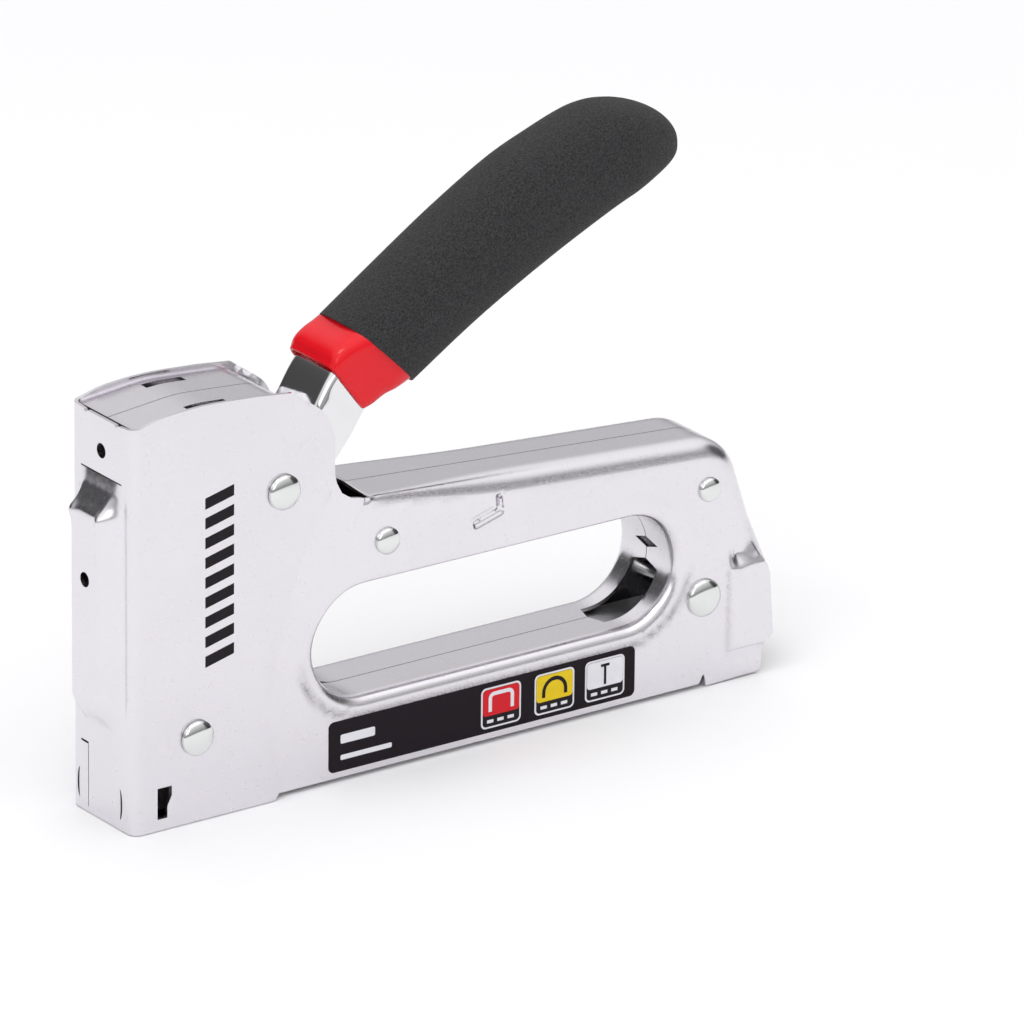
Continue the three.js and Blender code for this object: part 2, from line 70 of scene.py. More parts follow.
BOSS_RISE = 4.1  # how far the boss stands out in front of the nose
BOSS_HALF = 8.2
BOSS_FLANK = 3.4  # width of its sloping sides
BOSS_SCOOP = ((67, 68.2, 70, 72.5, 75.1, 75.3), (1, 0.95, 0.62, 0.25, 0.03, 0))  # Z and share of rise
PANEL_GRID = 1.6  # spacing of the points inside a panel
SHORTEST_EDGE = 0.02  # shorter edges of an outline are dropped
FLATTEST_CORNER = 0.7  # shorter sums of two edge normals aren't stretched to a full unit


# ---- Outlines ----
def rounded(corners, steps=8):
    """A closed outline from corners (x, z, radius), each rounded by an arc in equal steps."""
    outline = []
    for i, corner in enumerate(corners):
        at = Vector(corner[:2])
        radius = corner[2] if len(corner) > 2 else 0
        if not radius:
            outline.append(at)
            continue
        before = (Vector(corners[i - 1][:2]) - at).normalized()
        after = (Vector(corners[(i + 1) % len(corners)][:2]) - at).normalized()
        half = math.acos(max(-1, min(1, before.dot(after)))) / 2
        centre = at + (before + after).normalized() * radius / math.sin(half)
        first = at + before * radius / math.tan(half) - centre
        turn = (math.pi - 2 * half) * math.copysign(1, before.x * -after.y + before.y * after.x)
        for k in range(steps + 1):
            outline.append(centre + Matrix.Rotation(turn * k / steps, 2) @ first)
    return np.array([(p.x, p.y) for p in outline])


def smooth(points, per_span=8):
    """Points on a Catmull-Rom curve through the given points."""
    p = np.array(points, float)
    p = np.vstack([2 * p[0] - p[1], p, 2 * p[-1] - p[-2]])
    curve = []
    for i in range(1, len(p) - 2):
        for k in range(per_span):
            t = k / per_span
            a = 2 * p[i]
            b = p[i + 1] - p[i - 1]
            c = 2 * p[i - 1] - 5 * p[i] + 4 * p[i + 1] - p[i + 2]
            d = 3 * p[i] - p[i - 1] - 3 * p[i + 1] + p[i + 2]
            curve.append((a + b * t + c * t**2 + d * t**3) / 2)
    curve.append(p[-2])
    return np.array(curve)


def divided(outline, longest):
    """The closed outline with its long edges divided."""
    points = []
    for a, b in zip(outline, np.roll(outline, -1, axis=0)):
        count = max(1, math.ceil(np.linalg.norm(b - a) / longest))
        points += [a + (b - a) * k / count for k in range(count)]
    points = np.array(points)
    apart = np.linalg.norm(points - np.roll(points, 1, axis=0), axis=1)
    return points[apart > SHORTEST_EDGE]


def resampled(curve, count, ease=0.0):
    """count points along an open curve, by length; ease > 0 crowds them towards its end."""
    length = np.concatenate([[0], np.cumsum(np.linalg.norm(np.diff(curve, axis=0), axis=1))])
    u = np.linspace(0, 1, count)
    u = (1 - ease) * u + ease * np.sin(u * math.pi / 2)
    at = u * length[-1]
    return np.stack([np.interp(at, length, curve[:, k]) for k in range(curve.shape[1])], axis=1)


def inward_normals(outline):
    """Unit normals to the left of a counterclockwise outline, that is, into it."""
    ahead = np.roll(outline, -1, axis=0) - outline
    behind = outline - np.roll(outline, 1, axis=0)
    ahead /= np.linalg.norm(ahead, axis=1, keepdims=True)
    behind /= np.linalg.norm(behind, axis=1, keepdims=True)
    left = np.stack([-ahead[:, 1] - behind[:, 1], ahead[:, 0] + behind[:, 0]], axis=1)
    return left / np.maximum(FLATTEST_CORNER, np.linalg.norm(left, axis=1, keepdims=True))


def circle(x, z, radius, sides=32):
    angle = np.arange(sides) * 2 * math.pi / sides
    return np.stack([x + radius * np.cos(angle), z + radius * np.sin(angle)], axis=1)


def rectangle(x0, z0, x1, z1, radius=0.0):
    return rounded([(x0, z0, radius), (x1, z0, radius), (x1, z1, radius), (x0, z1, radius)])


def ribbon(path, half):
    """The closed outline of a band along an open path."""
    path = np.array(path, float)
    step = np.gradient(path, axis=0)
    step /= np.linalg.norm(step, axis=1, keepdims=True)
    side = np.stack([-step[:, 1], step[:, 0]], axis=1) * half
    return np.vstack([path - side, (path + side)[::-1]])


def inside(points, outline):
    """Which points lie in a closed outline."""
    x, z = points[:, 0], points[:, 1]
    found = np.zeros(len(points), bool)
    for a, b in zip(outline, np.roll(outline, -1, axis=0)):
        crosses = (a[1] > z) != (b[1] > z)
        slope = (b[0] - a[0]) / (b[1] - a[1]) if b[1] != a[1] else 0
        found ^= crosses & (x < a[0] + slope * (z - a[1]))
    return found


def distance(points, path, closed=False):
    """Distance from each point to a path."""
    nearest = np.full(len(points), 1e9)
    ends = np.roll(path, -1, axis=0) if closed else path[1:]
    for a, b in zip(path, ends):
        along = b - a
        t = np.clip(((points - a) @ along) / max(1e-9, along @ along), 0, 1)
        nearest = np.minimum(nearest, np.linalg.norm(points - a - t[:, None] * along, axis=1))
    return nearest


def ramp(value, low, high):
    """0 below low, 1 above high, smooth between; low may be the larger."""
    t = np.clip((np.asarray(value, float) - low) / (high - low), 0, 1)
    return t * t * (3 - 2 * t)


def bell(value, middle, width):
    """1 at the middle, falling off smoothly on either side over about the width."""
    return np.exp(-(((value - middle) / width) ** 2))


# ---- Meshes ----
ROW_STEP = 0.866  # from one row of grid points to the next, as a share of the spacing
RING_CLEARANCE = 0.45  # from a ring to the nearest grid point, as a share of the spacing
WELD_REACH = 0.01  # points closer than this are one
STEEL_BEVEL = 0.14  # on the cut edges of the sheet
TURN_SHARP = 60  # degrees: only cut edges are softened, not the bends


def triangulated(outline, holes, spacing, fine=()):
    """Triangles over an outline with holes, with inner points on a grid. fine lists
    (x0, z0, x1, z1, spacing) boxes with a finer grid. Outer ring points come first, then holes."""
    rings = [outline, *holes]
    low, high = outline.min(axis=0), outline.max(axis=0)
    spans = [(low[0], low[1], high[0], high[1], spacing), *fine]
    grids = []
    for i, (x0, z0, x1, z1, step) in enumerate(spans):
        xs = np.arange(x0 + step / 2, x1, step)
        zs = np.arange(z0 + step / 2, z1, step * ROW_STEP)
        grid = np.array([(x + (k % 2) * step / 2, z) for k, z in enumerate(zs) for x in xs])
        keep = inside(grid, outline)
        for hole in holes:
            keep &= ~inside(grid, hole)
        for ring in rings:
            keep[keep] = distance(grid[keep], ring, closed=True) > RING_CLEARANCE * step
        for box in spans[i + 1:]:
            across = (grid[:, 0] > box[0]) & (grid[:, 0] < box[2])
            keep &= ~(across & (grid[:, 1] > box[1]) & (grid[:, 1] < box[3]))
        grids.append(grid[keep])
    points = np.vstack([*rings, *grids])
    edges = []
    start = 0
    for ring in rings:
        edges += [(start + k, start + (k + 1) % len(ring)) for k in range(len(ring))]
        start += len(ring)
    made = delaunay_2d_cdt([Vector(p) for p in points], edges, [], 0, 1e-5)
    points_out = np.array([(v.x, v.y) for v in made[0]])
    where = {i: k for k, origins in enumerate(made[3]) for i in origins}
    faces = np.array(made[2])
    middle = points_out[faces].mean(axis=1)
    keep = inside(middle, outline)
    for hole in holes:
        keep &= ~inside(middle, hole)
    faces = faces[keep]
    a, b, c = (points_out[faces[:, k]] for k in range(3))
    area = (b[:, 0] - a[:, 0]) * (c[:, 1] - a[:, 1]) - (b[:, 1] - a[:, 1]) * (c[:, 0] - a[:, 0])
    faces[area < 0] = faces[area < 0][:, ::-1]
    ring_at = []
    start = 0
    for ring in rings:
        ring_at.append([where[start + k] for k in range(len(ring))])
        start += len(ring)
    return points_out, faces.tolist(), ring_at


def new_object(name, points, faces):
    metres = np.asarray(points, float) * MM
    metres[:, 0] += NOSE_X * MM
    mesh = bpy.data.meshes.new(name)
    mesh.from_pydata(metres.tolist(), [], faces)
    mesh.update()
    obj = bpy.data.objects.new(name, mesh)
    scene.collection.objects.link(obj)
    return obj


def applied(obj, sharp=40):
    """Makes the modifiers' result the mesh, smooth except at sharp edges."""
    graph = bpy.context.evaluated_depsgraph_get()
    mesh = bpy.data.meshes.new_from_object(obj.evaluated_get(graph))
    obj.modifiers.clear()
    obj.data = mesh
    mesh.name = obj.name
    mesh.shade_smooth()
    mesh.set_sharp_from_angle(angle=math.radians(sharp))
    return obj


def bevel(obj, width, segments, angle):
    tool = obj.modifiers.new("edges", "BEVEL")
    tool.width = width * MM
    tool.segments = segments
    tool.limit_method = "ANGLE"
    tool.angle_limit = math.radians(angle)
    tool.harden_normals = False


def sheet_metal(obj, wall, edge=STEEL_BEVEL):
    """Gives an open surface its wall, inwards, and softens the cut edges."""
    weld = obj.modifiers.new("weld", "WELD")
    weld.merge_threshold = WELD_REACH * MM
    thicken = obj.modifiers.new("wall", "SOLIDIFY")
    thicken.thickness = wall * MM
    thicken.offset = -1
    thicken.use_even_offset = False
    bevel(obj, edge, 2, TURN_SHARP)
    return applied(obj)


def piece(obj, material, body, slot, *nodes):
    """Finishes a piece: its material, its body, and the CAD nodes it stands for, which it hides. The
    slot argument is not used.
    """
    obj.data.materials.clear()
    obj.data.materials.append(material)
    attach(obj, body)
    if nodes:
        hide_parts(*nodes)
    return obj


def strip(rows, first, start, flip, skip):
    """Quads between rows of ring points; first holds the vertex numbers of row 0, and the later
    rows follow one another from vertex number start. skip(row, k) leaves a quad out."""
    faces = []
    count = len(first)
    above = list(first)
    for row in range(rows):
        below = [start + row * count + k for k in range(count)]
        for k in range(count):
            n = (k + 1) % count
            if skip(row, k):
                continue
            quad = (above[n], above[k], below[k], below[n])
            faces.append(quad[::-1] if flip else quad)
        above = below
    return faces


BEND_ROWS = 6
SLOT_ROW = BEND_ROWS + 1  # the flange row that holds the top slots
SLOT_FROM = 0.7  # from the end of the bend to the slot
SLOT_WIDTH = 2.2


def tray(outline, holes, half, rim, cut_rim, spacing, relief, fine=(), gaps=None):
    """A pressed half shell: a side panel at y = -half, bent in along its outline and round its
    holes. rim(points) gives each point's bend radius and the Y its flange ends at; cut_rim the
    same for a hole. relief(points) is how far the panel stands out. gaps(row, point) leaves a
    quad of the outline's flange out. Returns points and faces."""
    rings = []
    for ring, rule, sign in [(outline, rim, 1), *[(hole, cut_rim, -1) for hole in holes]]:
        radius, end = rule(ring)
        rings.append((ring, inward_normals(ring) * sign, radius, end))
    panel_rings = [ring + normal * radius[:, None] for ring, normal, radius, _ in rings]
    flat, faces, ring_at = triangulated(panel_rings[0], panel_rings[1:], spacing, fine)
    points = np.stack([flat[:, 0], -half - relief(flat), flat[:, 1]], axis=1)
    parts = [points]
    total = len(points)
    for number, ((ring, normal, radius, end), at) in enumerate(zip(rings, ring_at)):
        is_hole = number > 0
        rows = []
        for k in range(1, BEND_ROWS + 1):
            turn = k / BEND_ROWS * math.pi / 2
            flat_at = ring + normal * (radius * (1 - math.sin(turn)))[:, None]
            rows.append((flat_at, -half + radius * (1 - math.cos(turn))))
        bent = -half + radius
        last = np.maximum(end, bent)
        for y in (bent + SLOT_FROM, bent + SLOT_FROM + SLOT_WIDTH, last):
            rows.append((ring, np.minimum(y, last)))
        for flat_at, y in rows:
            parts.append(np.stack([flat_at[:, 0], y, flat_at[:, 1]], axis=1))

        def skip(row, k):
            return gaps is not None and not is_hole and gaps(row, ring[k])

        faces += strip(len(rows), at, total, is_hole, skip)
        total += len(rows) * len(ring)
    return np.vstack(parts), faces


def mirrored(points, faces):
    return points * (1, -1, 1), [tuple(face)[::-1] for face in faces]


def joined(*meshes):
    points, faces, total = [], [], 0
    for part_points, part_faces in meshes:
        points.append(part_points)
        faces += [tuple(v + total for v in face) for face in part_faces]
        total += len(part_points)
    return np.vstack(points), faces


def loft(rings, closed_start=True):
    """A tube through rings of equal count; an end is closed by a fan round its middle."""
    count = len(rings[0])
    points = np.vstack(rings)
    faces = []
    for row in range(len(rings) - 1):
        for k in range(count):
            n = (k + 1) % count
            here, ahead = row * count, (row + 1) * count
            faces.append((here + k, here + n, ahead + n, ahead + k))
    ends = [(0, rings[0], True)] if closed_start else []
    ends.append(((len(rings) - 1) * count, rings[-1], False))
    for base, ring, flip in ends:
        points = np.vstack([points, ring.mean(axis=0)])
        hub = len(points) - 1
        for k in range(count):
            face = (base + k, base + (k + 1) % count, hub)
            faces.append(face[::-1] if flip else face)
    return points, faces


def plate(outline, y, depth):
    """A thin plate with its face at y and its back depth behind, towards +Y."""
    count = len(outline)
    front = np.stack([outline[:, 0], np.full(count, y), outline[:, 1]], axis=1)
    back = front + (0, depth, 0)
    faces = [tuple(range(count)), tuple(reversed(range(count, 2 * count)))]
    for k in range(count):
        n = (k + 1) % count
        faces.append((n, k, count + k, count + n))
    return np.vstack([front, back]), faces


# ---- Materials ----
def shader(name, color, roughness, metallic=0.0, **sockets):
    """A material whose plain values sit on the shader's own sockets. Returns it with its tree."""
    material = bpy.data.materials.new(name)
    material.use_nodes = True
    tree = material.node_tree
    bsdf = tree.nodes["Principled BSDF"]
    bsdf.inputs["Base Color"].default_value = (*color, 1)
    bsdf.inputs["Roughness"].default_value = roughness
    bsdf.inputs["Metallic"].default_value = metallic
    for socket, value in sockets.items():
        bsdf.inputs[socket.replace("_", " ")].default_value = value
    material.diffuse_color = (*color, 1)
    return material, tree, bsdf


def noise(tree, scale, detail, roughness=0.5):
    """Noise fixed to the piece; the scale counts its waves in a metre."""
    place = tree.nodes.new("ShaderNodeTexCoord")
    node = tree.nodes.new("ShaderNodeTexNoise")
    node.inputs["Scale"].default_value = scale
    node.inputs["Detail"].default_value = detail
    node.inputs["Roughness"].default_value = roughness
    tree.links.new(place.outputs["Object"], node.inputs["Vector"])
    return node.outputs["Fac"]


def spread(tree, value, low, high, start=0.3, end=0.7):
    """A value mapped from start..end to low..high."""
    node = tree.nodes.new("ShaderNodeMapRange")
    node.inputs["From Min"].default_value = start
    node.inputs["From Max"].default_value = end
    node.inputs["To Min"].default_value = low
    node.inputs["To Max"].default_value = high
    tree.links.new(value, node.inputs["Value"])
    return node.outputs["Result"]


def tint(tree, bsdf, value, dark, light):
    """Colours the surface between dark and light; returns the mix node."""
    node = tree.nodes.new("ShaderNodeMix")
    node.data_type = "RGBA"
    node.inputs["A"].default_value = (*dark, 1)
    node.inputs["B"].default_value = (*light, 1)
    tree.links.new(value, node.inputs["Factor"])
    tree.links.new(node.outputs["Result"], bsdf.inputs["Base Color"])
    return node


def bump(tree, bsdf, height, depth):
    """Raises the surface by the height times the depth in millimetres; returns the bump node."""
    node = tree.nodes.new("ShaderNodeBump")
    node.inputs["Distance"].default_value = depth * MM
    tree.links.new(height, node.inputs["Height"])
    tree.links.new(node.outputs["Normal"], bsdf.inputs["Normal"])
    return node


def scaled_sum(tree, value, factor, other):
    """value * factor + other."""
    node = tree.nodes.new("ShaderNodeMath")
    node.operation = "MULTIPLY_ADD"
    node.inputs[1].default_value = factor
    tree.links.new(value, node.inputs[0])
    tree.links.new(other, node.inputs[2])
    return node.outputs[0]


def plated(name, color, roughness, cloud=0.03, wave=0.004, grain=0.0):
    """Plated steel: faint clouds in its colour and gloss, a slightly uneven face, fine grain.
    Returns the material, its tree, its shader and the bump node."""
    material, tree, bsdf = shader(name, color, roughness, 1.0)
    darker = [c * (1 - cloud) for c in color]
    lighter = [min(1, c * (1 + cloud)) for c in color]
    tint(tree, bsdf, noise(tree, 60, 4), darker, lighter)
    gloss = noise(tree, 900, 2)
    tree.links.new(spread(tree, gloss, roughness * 0.85, roughness * 1.15), bsdf.inputs["Roughness"])
    waves = noise(tree, 140, 2)
    if grain:
        waves = scaled_sum(tree, noise(tree, 2600, 3, 0.7), grain, waves)
    uneven = bump(tree, bsdf, waves, wave)
    return material, tree, bsdf, uneven


def steel(name, color, roughness, **finish):
    return plated(name, color, roughness, **finish)[0]


def bend_grain_and_shade_steel(name, color, roughness):
    """Plated steel with a grainy bump at the marked bends, and painted shade there: the colour darkens
    in speckles towards dark grey, standing in for the dark band a bend reflects.
    """
    material, tree, bsdf, uneven = plated(name, color, roughness)
    mark = tree.nodes.new("ShaderNodeAttribute")
    mark.attribute_name = "bend"
    grains = noise(tree, 3200, 4, 0.75)
    shade_speckle = tree.nodes.new("ShaderNodeMath")
    shade_speckle.operation = "MULTIPLY"
    tree.links.new(mark.outputs["Fac"], shade_speckle.inputs[0])
    tree.links.new(spread(tree, grains, 0.15, 0.85, 0.4, 0.6), shade_speckle.inputs[1])
    # Painted shade: over the marked bends the plated colour is mixed towards dark grey, broken up by the
    # grain noise, in place of the dark reflection band along each bend.
    bright = bsdf.inputs["Base Color"].links[0].from_socket
    bend_shade = tint(tree, bsdf, shade_speckle.outputs[0], color, (0.16, 0.155, 0.16))
    tree.links.new(bright, bend_shade.inputs["A"])
    grainy = bump(tree, bsdf, grains, 0.2)
    tree.links.new(mark.outputs["Fac"], grainy.inputs["Strength"])
    tree.links.new(uneven.outputs["Normal"], grainy.inputs["Normal"])
    return material


def vinyl(name, color):
    """Dipped vinyl: glossy, with a soft orange peel."""
    gloss = {"Specular_IOR_Level": 0.2, "Coat_Weight": 0.22, "Coat_Roughness": 0.05}
    material, tree, bsdf = shader(name, color, 0.2, **gloss)
    tint(tree, bsdf, noise(tree, 90, 2), [c * 0.93 for c in color], color)
    bump(tree, bsdf, noise(tree, 220, 2), 0.08)
    return material


def foam(name, color):
    """Closed-cell foam: dull, with open pores of about a third of a millimetre."""
    material, tree, bsdf = shader(name, color, 0.85, Sheen_Weight=0.06, Specular_IOR_Level=0.3)
    cells = tree.nodes.new("ShaderNodeTexVoronoi")
    cells.inputs["Scale"].default_value = 3000
    place = tree.nodes.new("ShaderNodeTexCoord")
    tree.links.new(place.outputs["Object"], cells.inputs["Vector"])
    grain = noise(tree, 2400, 4, 0.8)
    pores = [c * 0.3 for c in color]
    skin = [c * 2.6 for c in color]
    tint(tree, bsdf, spread(tree, grain, 0, 1, 0.35, 0.65), pores, skin)
    bump(tree, bsdf, scaled_sum(tree, cells.outputs["Distance"], 0.6, grain), 0.2)
    return material


def moulded(name, color, roughness):
    """Moulded rubber or printed film: an even colour with a fine mottle."""
    material, tree, bsdf = shader(name, color, roughness, Specular_IOR_Level=0.12)
    tint(tree, bsdf, noise(tree, 400, 3), [c * 0.85 for c in color], color)
    bump(tree, bsdf, noise(tree, 1500, 2), 0.02)
    return material


SATIN = bend_grain_and_shade_steel("satin_nickel", (0.775, 0.752, 0.79), 0.24)
COVER_STEEL = steel("cover_nickel", (0.765, 0.742, 0.78), 0.24)
CHROME = steel("bright_nickel", (0.78, 0.78, 0.79), 0.07, wave=0.01)
DOME_STEEL = steel("rivet_nickel", (0.76, 0.77, 0.76), 0.1, wave=0.012, grain=0.15)
SPRING_STEEL = steel("spring_steel", (0.42, 0.42, 0.44), 0.3, cloud=0.12)
RAW_STEEL = steel("raw_steel", (0.5, 0.5, 0.5), 0.38, cloud=0.1, grain=0.4)
DARK_STEEL = steel("blackened_steel", (0.05, 0.05, 0.055), 0.35, cloud=0.2)
VINYL = vinyl("red_vinyl", (0.8, 0.008, 0.017))
FOAM = foam("black_foam", (0.021, 0.0205, 0.0215))
RUBBER = moulded("black_rubber", (0.02, 0.02, 0.02), 0.6)
LABEL_FILM = moulded("label_film", (0.011, 0.007, 0.011), 0.35)
PRINTS = {
    "red": moulded("print_red", (0.72, 0.02, 0.03), 0.4),
    "yellow": moulded("print_yellow", (0.87, 0.62, 0.02), 0.4),
    "white": moulded("print_white", (0.86, 0.85, 0.9), 0.4),
    "ink": moulded("print_ink", (0.015, 0.012, 0.015), 0.4),
}


# ---- Body shells ----
LONGEST_EDGE = 1.3  # of the shells' and the finger hole's outlines
SMALL_CUT = 0.5  # longest edge of a small cut's outline
LEVER_WAY = (38.6, 59, 59.2, 88)  # X and Z from and to: no flange where the lever comes out
TOP_SLOT = (15.4, 26.2)  # X from and to
FOOT_Z = 4  # below this the bend is tight
ARM_BEND = (1.3, 3.9)  # radius of the arm's bend at its front and further back
ARM_GROWS = (58, 96)  # X from and to which the radius grows
HOLE_BEND = (2.3, 0.8)  # radius of the finger hole's bend, and what is left at its upper rear
SCOOP = (152.4, 28.2)  # the dent above the heel's swelling, with a ridge behind it


def shell_outline():
    """The side view of both shells, with a notch near the rear of its foot."""
    corners = [
        (SHELL_FRONT, 0.8), (143.1, 0.8, 0.5), (144.3, 3, 0.2), (144.9, 0), (159.6, 0, 2),
        (159.9, 7.2), (161.9, 8.4, 1.2), (160.8, 23, 8), (158, 32, 6), (150.5, 54.6, 11),
        (121.5, 56.7, 40), (59.3, 61.2), (57, 61.3), (54.2, 61.9), (51.8, 63.5), (50.5, 66),
        (48.4, 75.5, 6), (44.5, 83.6, 4), (36, 87.6, 8), (18, 89, 40), (SHELL_FRONT, 87.4),
    ]
    return divided(rounded(corners), LONGEST_EDGE)


def hole_outline():
    radius = HOLE_RADIUS - 0.001  # a little less, so that the two arcs of an end don't meet in a point
    x0 = HOLE_FRONT_X - HOLE_RADIUS
    x1 = HOLE_REAR_X + HOLE_RADIUS
    slot = [(x0, HOLE_Z - HOLE_RADIUS, radius), (x1, HOLE_Z - HOLE_RADIUS, radius)]
    slot += [(x1, HOLE_Z + HOLE_RADIUS, radius), (x0, HOLE_Z + HOLE_RADIUS, radius)]
    return divided(rounded(slot, 16), LONGEST_EDGE)


def softened(values, reach):
    """Values round a ring, averaged with that many neighbours on either side."""
    return sum(np.roll(values, k) for k in range(-reach, reach + 1)) / (2 * reach + 1)


def shell_rim(ring):
    """Bend radius and flange end along the shell's outline."""
    x, z = ring[:, 0], ring[:, 1]
    arm = (z > 30) & (x > 50)
    heel = (z < 30) & (x > 150)
    radius = np.full(len(ring), 0.9)
    radius[arm] = ARM_BEND[0] + (ARM_BEND[1] - ARM_BEND[0]) * ramp(x[arm], *ARM_GROWS)
    radius[z < FOOT_Z] = 0.3
    radius[heel] = 0.8
    radius = softened(radius, 4)
    x0, z0, x1, z1 = LEVER_WAY
    lever_way = (x > x0) & (x < x1) & (z > z0) & (z < z1)
    magazine_way = ((z < 8) & (x < 143)) | ((x > 140) & (z < 20))
    front = (x < 3) & (z < 86)
    end = np.full(len(ring), -SEAM)
    end[magazine_way] = -BASE_OPENING
    end[lever_way | front] = -SHELL_HALF
    radius[lever_way | front] = 0
    return radius, end


def hole_rim(ring):
    """The finger hole's rolled edge. The small cuts have no rim."""
    x, z = ring[:, 0], ring[:, 1]
    if np.ptp(x) < HOLE_RADIUS:
        return np.zeros(len(ring)), np.full(len(ring), -SHELL_HALF)
    upper = ramp(z, HOLE_Z - 2, HOLE_Z + 9) * ramp(x, HOLE_REAR_X + 13, HOLE_REAR_X + 2)
    radius = softened(HOLE_BEND[0] - (HOLE_BEND[0] - HOLE_BEND[1]) * upper, 3)
    end = np.full(len(ring), -SEAM)
    # The flanges part in a small hollow at the lower front, and stop short at the lower rear, with
    # a slit above.
    low = z < HOLE_Z
    end[low] -= 1.5 * bell(x[low], 51.5, 2.4)
    lower_rear = (x > HOLE_REAR_X - 2) & (z < HOLE_Z - 2.6)
    end[lower_rear] = -4.4
    slit = (x > HOLE_REAR_X) & (z > HOLE_Z + 0.2) & (z < HOLE_Z + 1.6)
    end[slit] = -4.0
    return radius, end


LANCE = np.array([(85.4, 49.5), (91.4, 51.2), (91.1, 54.2)])  # the tick pressed into the arm
LANCE_SLITS = [[(92.1, 51.6), (91.8, 54.3)], [(85.7, 50.4), (90.6, 51.8)]]
# Areas with a finer grid: X and Z of the lower and the upper corner, and the spacing.
LANCE_BOX = (83.5, 47.6, 93.2, 56.2, 0.2)
HEEL_BOX = (149, 6.5, 161.5, 32.5, 0.55)
NOSE_WINDOW = (5.4, 2, 9.9, 9.8)  # behind the cover's own window, and a little larger


def shell_relief(points):
    """How far the shell's side stands out: hole bead, heel swelling, lanced tick and dent."""
    x, z = points[:, 0], points[:, 1]
    beyond = distance(points, HOLE_MIDDLE) - HOLE_RADIUS
    below = ramp(z, HOLE_Z + 8, HOLE_Z - 6)
    rear = ramp(x, HOLE_REAR_X - 4, HOLE_REAR_X + 8)
    bead = 0.3 * bell(beyond, 3.1, 0.5) * np.maximum(below, rear)
    swell = 1.5 * ramp(x, 149.4, 150.4) * ramp(z, 6.4, 7.6)
    swell *= np.clip((32 - z) / 6.4, 0, 1) ** 2
    dent = 0.8 * bell(x, SCOOP[0], 1.2) * bell(z, SCOOP[1], 1.9)
    ridge = 0.3 * bell(x, SCOOP[0] + 3.8, 1.3) * bell(z, SCOOP[1] + 0.2, 1.8)
    tick = distance(points, LANCE)
    groove = 0.5 * ramp(tick, 1.1, 0.1)
    lip = 0.1 * bell(tick, 1.4, 0.35)
    return bead + swell - dent + ridge - groove + lip


def shell_gaps(row, at):
    """The black slot in each shell's top flange."""
    return row == SLOT_ROW and TOP_SLOT[0] < at[0] < TOP_SLOT[1] and at[1] > 80


def mark_bends(obj):
    """Marks the bends for the grainy bump and the painted shade band: arm edge and hole edge."""
    count = len(obj.data.vertices)
    co = np.zeros(count * 3)
    obj.data.vertices.foreach_get("co", co)
    co = co.reshape(-1, 3) / MM - (NOSE_X, 0, 0)
    flat = co[:, [0, 2]]
    beyond = distance(flat, HOLE_MIDDLE) - HOLE_RADIUS
    hole = bell(beyond, 3.9, 0.8) * ramp(co[:, 2], HOLE_Z, HOLE_Z - 8)
    edge = distance(flat, shell_outline(), closed=True)
    arm = bell(edge, 0.9 + 1.9 * ramp(co[:, 0], *ARM_GROWS), 0.7)
    arm *= ramp(co[:, 2], 50, 54) * ramp(co[:, 0], 58, 64)
    side = ramp(np.abs(co[:, 1]), SHELL_HALF - 2.2, SHELL_HALF - 0.6)
    # The bend value drives both the grain bump and the painted shade band at the bends.
    value = np.clip((0.9 * hole + arm) * side, 0, 1)
    attribute = obj.data.attributes.new("bend", "FLOAT", "POINT")
    attribute.data.foreach_set("value", value.astype(np.float32))


def build_shells():
    outline = shell_outline()
    window = divided(rectangle(*NOSE_WINDOW, 0.5), 0.7)
    slits = [ribbon(path, half) for path, half in zip(LANCE_SLITS, (0.13, 0.1))]
    holes = [hole_outline(), window, *[divided(slit, SMALL_CUT) for slit in slits]]
    fine = [LANCE_BOX, HEEL_BOX]
    rules = (shell_rim, hole_rim, PANEL_GRID, shell_relief)
    left = tray(outline, holes, SHELL_HALF, *rules, fine, shell_gaps)
    for side, mesh in (("left", left), ("right", mirrored(*left))):
        obj = sheet_metal(new_object(f"shell_{side}", *mesh), SHEET)
        mark_bends(obj)
        piece(obj, SATIN, "frame", "plated_steel", f"body_shell_{side}")


# ---- Nose cover ----
COVER_BEVEL = 0.18
FLAT_HALF = COVER_HALF - FRONT_BEND
BEND_LENGTH = FRONT_BEND * math.pi / 2
SIDE_START = FLAT_HALF + BEND_LENGTH  # unrolled distance from the middle to the side's flat
CRESCENT_ANGLES = np.linspace(0.15, math.pi - 0.15, 12)
# X and Z along the cover's rear edge.
REAR_EDGE = [(36.5, 2.4), (34.6, 11), (34.2, 27), (39, 45), (45.7, 59.5), (49.2, 66), (49.4, 72)]


def unrolled(x):
    """Distance from the cover's middle line to a side point at x, along the sheet."""
    return SIDE_START + x - FRONT_BEND


def cover_outline():
    """The cover laid flat: distance across the sheet and height."""
    corner = [(49.4, 76.6), (46.7, 82.4), (38.8, 88.3)]
    crown = [(30, 89.3), (18, 90), (8, 89.5), (FRONT_BEND, 88.2)]
    side = np.vstack([smooth(REAR_EDGE), smooth(corner), smooth(crown)])
    right = np.vstack([[(unrolled(34.8), 0)], np.stack([unrolled(side[:, 0]), side[:, 1]], axis=1)])
    left = (right * (-1, 1))[::-1]
    notch = [(6.2, 87.6), (6.0, 87.1), (5.2, 87.1), (5.0, 87.6)]
    notch_left = [(-x, z) for x, z in reversed(notch)]
    seam_foot = [(-5.6, 0)]
    return divided(np.vstack([right, notch, notch_left, left, seam_foot]), 1.2)


def boss_relief(y, z):
    """Height of the front boss over the panel."""
    across = np.clip((BOSS_HALF - np.abs(y)) / BOSS_FLANK, 0, 1)
    across = 0.7 * across + 0.3 * ramp(across, 0, 1)
    upper = np.interp(z, *BOSS_SCOOP)
    lower = ramp(z, 19, 28)
    knob = bell(np.abs(y), 5.1, 1.4) * bell(z, 67.4, 1.7)
    return BOSS_RISE * across * np.minimum(upper, lower) + 0.8 * knob


